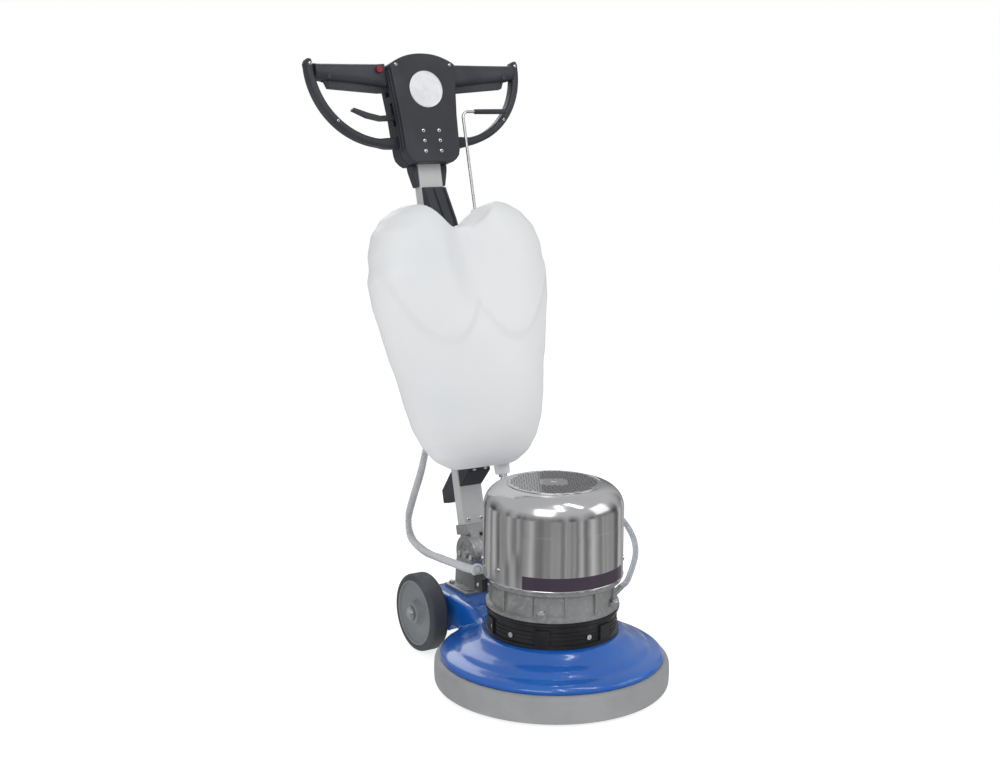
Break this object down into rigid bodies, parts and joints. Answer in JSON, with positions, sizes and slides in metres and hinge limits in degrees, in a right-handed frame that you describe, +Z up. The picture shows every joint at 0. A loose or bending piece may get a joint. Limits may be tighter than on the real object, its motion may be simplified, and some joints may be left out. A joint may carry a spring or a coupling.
{
  "type": "single-disc floor scrubber",
  "caption": "Single-disc wet floor scrubber: motor over a round brush deck, leaning tiller handle with solution tank, D-loop grips, levers and transport wheels.",
  "frame": {"origin": "on the brush axis at floor level, in the middle of the scrubbing pad's lower face", "axes": "+Z up along the brush axis, +Y towards the operator, +X to the operator's left"},
  "size_m": [0.498, 0.7912, 1.191],
  "materials": {
    "deck_paint": "gloss",
    "bumper_rubber": "satin",
    "black_casting": "satin",
    "cast_aluminium": "as cast",
    "stainless": "polished",
    "label_silver": "satin",
    "zinc_fasteners": "bright zinc",
    "machined_steel": "machined",
    "copper_winding": "enamelled",
    "inner_plastic": "moulded",
    "gear_nylon": "moulded nylon",
    "conduit_grey": "corrugated",
    "clear_hose": "clear vinyl",
    "scrub_fibre": "open fibre",
    "wheel_grey": "moulded",
    "tyre": "ribbed",
    "post_paint": "satin powder coat",
    "black_plastic": "fine grain moulded",
    "tank_plastic": "translucent polyethylene",
    "red_plastic": "gloss"
  },
  "bodies": {
    "root": {"deck_housing": "deck_paint", "bumper_ring": "bumper_rubber", "spacer_ring": "black_casting", "motor_flange": "cast_aluminium", "motor_cowl": "stainless", "cowl_grille": "stainless", "cowl_label": "label_silver", "casing_screws": "zinc_fasteners", "hex_bolts": "zinc_fasteners", "motor_frame": "machined_steel", "stator": "machined_steel", "stator_windings": "copper_winding", "bearings": "machined_steel", "run_capacitor": "inner_plastic", "ring_gear": "machined_steel", "base_plate": "cast_aluminium", "pedestal": "cast_aluminium", "pivot_pin": "machined_steel", "axle": "machined_steel", "terminal_box": "black_casting", "hose_barb": "stainless", "conduit": "conduit_grey", "water_hose": "clear_hose"},
    "handle": {"handle_fork": "cast_aluminium", "post": "post_paint", "head_front": "black_plastic", "head_rear": "black_plastic", "left_bow": "black_plastic", "right_bow": "black_plastic", "left_grip": "black_plastic", "right_grip": "black_plastic", "head_sleeves": "black_plastic", "badge_disc": "label_silver", "handle_screws": "zinc_fasteners", "main_switch": "inner_plastic", "tank_bracket": "black_plastic", "lock_housing": "black_plastic", "tank": "tank_plastic", "drain_valve": "black_plastic"},
    "rotor": {"rotor_core": "machined_steel", "motor_shaft": "machined_steel", "cooling_fan": "inner_plastic", "sun_gear": "machined_steel"},
    "brush": {"planet_carrier": "machined_steel", "pad_driver": "inner_plastic", "scrub_pad": "scrub_fibre"},
    "planet_1": {"planet_gear_1": "gear_nylon"},
    "planet_2": {"planet_gear_2": "gear_nylon"},
    "planet_3": {"planet_gear_3": "gear_nylon"},
    "left_wheel": {"left_wheel": "wheel_grey", "left_tyre": "tyre"},
    "right_wheel": {"right_wheel": "wheel_grey", "right_tyre": "tyre"},
    "left_trigger": {"left_trigger": "black_plastic"},
    "right_trigger": {"right_trigger": "black_plastic"},
    "tilt_lever": {"tilt_lever": "black_plastic"},
    "lock_rod": {"lock_rod": "machined_steel"},
    "safety_button": {"safety_button": "red_plastic"},
    "water_rod": {"water_rod": "machined_steel"},
    "tank_cap": {"tank_cap": "black_plastic"}
  },
  "joints": [
    {"name": "handle_tilt", "type": "hinge", "parent": "root", "child": "handle", "pos_m": [0, 0.2665, 0.192], "axis": [-1, 0, 0], "range_deg": [-14, 45], "deforming": ["conduit", "water_hose"]},
    {"name": "brush_spin", "type": "hinge", "parent": "root", "child": "brush", "pos_m": [0, 0, 0.1], "axis": [0, 0, 1], "continuous": true},
    {"name": "rotor_spin", "type": "hinge", "parent": "root", "child": "rotor", "pos_m": [0, 0, 0.29], "axis": [0, 0, 1], "continuous": true},
    {"name": "planet_1_spin", "type": "hinge", "parent": "brush", "child": "planet_1", "pos_m": [0.054, 0, 0.134], "axis": [0, 0, 1], "continuous": true},
    {"name": "planet_2_spin", "type": "hinge", "parent": "brush", "child": "planet_2", "pos_m": [-0.027, 0.04677, 0.134], "axis": [0, 0, 1], "continuous": true},
    {"name": "planet_3_spin", "type": "hinge", "parent": "brush", "child": "planet_3", "pos_m": [-0.027, -0.04677, 0.134], "axis": [0, 0, 1], "continuous": true},
    {"name": "left_wheel_spin", "type": "hinge", "parent": "root", "child": "left_wheel", "pos_m": [0.125, 0.287, 0.079], "axis": [1, 0, 0], "continuous": true},
    {"name": "right_wheel_spin", "type": "hinge", "parent": "root", "child": "right_wheel", "pos_m": [-0.125, 0.287, 0.079], "axis": [1, 0, 0], "continuous": true},
    {"name": "left_trigger_pull", "type": "hinge", "parent": "handle", "child": "left_trigger", "pos_m": [0.205, 0.53502, 1.13986], "axis": [0, 0.967, -0.2549], "range_deg": [0, 4], "stiffness_Nm_per_rad": 6, "springref_deg": -2.86},
    {"name": "right_trigger_pull", "type": "hinge", "parent": "handle", "child": "right_trigger", "pos_m": [-0.205, 0.53502, 1.13986], "axis": [0, -0.967, 0.2549], "range_deg": [0, 4], "stiffness_Nm_per_rad": 6, "springref_deg": -2.86},
    {"name": "tilt_lever_pull", "type": "hinge", "parent": "handle", "child": "tilt_lever", "pos_m": [0.022, 0.5049, 1.06093], "axis": [0, 0.967, -0.2549], "range_deg": [0, 8], "stiffness_Nm_per_rad": 5, "springref_deg": -5.73},
    {"name": "lock_rod_slide", "type": "slide", "parent": "handle", "child": "lock_rod", "axis": [0, 0.2549, 0.967], "range_m": [0, 0.0032]},
    {"name": "safety_button_press", "type": "slide", "parent": "handle", "child": "safety_button", "axis": [0, 0.967, -0.2549], "range_m": [0, 0.004], "stiffness_N_per_m": 500, "springref_m": -0.002},
    {"name": "water_rod_lift", "type": "slide", "parent": "handle", "child": "water_rod", "axis": [0, 0.2549, 0.967], "range_m": [0, 0.02], "stiffness_N_per_m": 300, "springref_m": -0.02},
    {"name": "tank_cap_lift", "type": "slide", "parent": "handle", "child": "tank_cap", "axis": [0, 0.9046, 0.4263], "range_m": [0, 0.03]}
  ],
  "couplings": [
    {"joint": "rotor_spin", "follows": "brush_spin", "ratio": 9},
    {"joint": "planet_1_spin", "follows": "brush_spin", "ratio": -2.2857},
    {"joint": "planet_2_spin", "follows": "brush_spin", "ratio": -2.2857},
    {"joint": "planet_3_spin", "follows": "brush_spin", "ratio": -2.2857},
    {"joint": "lock_rod_slide", "follows": "tilt_lever_pull", "m_per_rad": 0.022}
  ]
}
